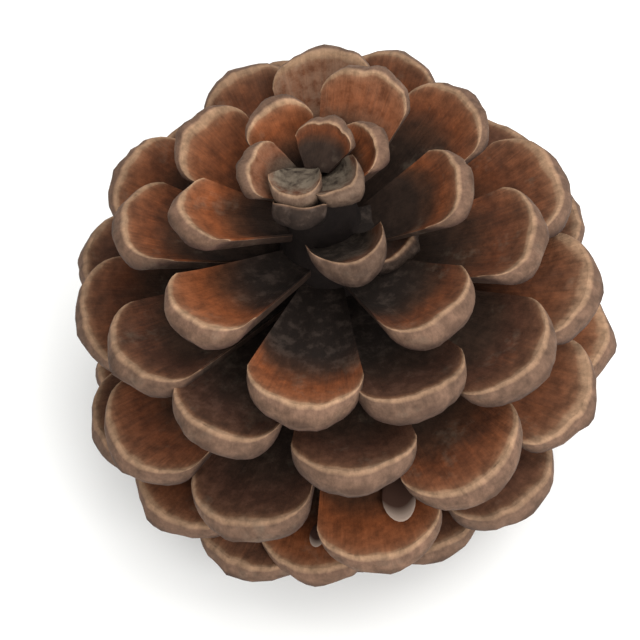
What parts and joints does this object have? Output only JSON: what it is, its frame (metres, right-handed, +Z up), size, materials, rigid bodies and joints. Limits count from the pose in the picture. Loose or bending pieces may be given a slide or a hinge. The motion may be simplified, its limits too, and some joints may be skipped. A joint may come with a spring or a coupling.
{
  "type": "pine cone",
  "caption": "Open pine cone, near ball-shaped, with brown woody scales on a spiral, pale tan rims and grey-tan keeled ends, standing on its base.",
  "frame": {"origin": "middle of the resting face, at the broken end of the stalk", "axes": "+Z runs up the axis of the cone to its top; -Y is the side towards the viewer in the picture; +X is to the viewer's right"},
  "size_m": [0.0628, 0.0641, 0.055],
  "materials": {
    "cone_wood": "dry weathered scale wood, matt, brown faces with pale tan rims and grey-tan ends"
  },
  "bodies": {
    "root": {"cone": "cone_wood"}
  },
  "joints": []
}
